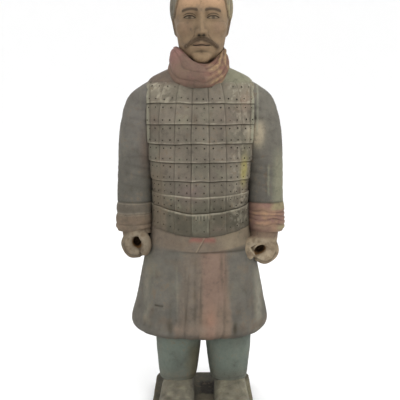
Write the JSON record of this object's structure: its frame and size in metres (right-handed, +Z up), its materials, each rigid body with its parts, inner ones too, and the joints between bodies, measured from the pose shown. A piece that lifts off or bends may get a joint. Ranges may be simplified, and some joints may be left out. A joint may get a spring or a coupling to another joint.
{
  "type": "terracotta warrior statue",
  "caption": "Standing armoured warrior in painted fired clay, arms down and fists bored for a staff, on a low footplate; the separate head stands in the scarf collar.",
  "frame": {"origin": "centre of the footplate's underside", "axes": "+Z up the figure, -Y the way the figure faces, +X towards the figure's left hand"},
  "size_m": [0.4505, 0.2853, 1.198],
  "materials": {
    "body_clay": "matte weathered clay with faded paint",
    "head_clay": "matte weathered clay with faded paint"
  },
  "bodies": {
    "root": {"figure": "body_clay", "head": "head_clay"}
  },
  "joints": []
}
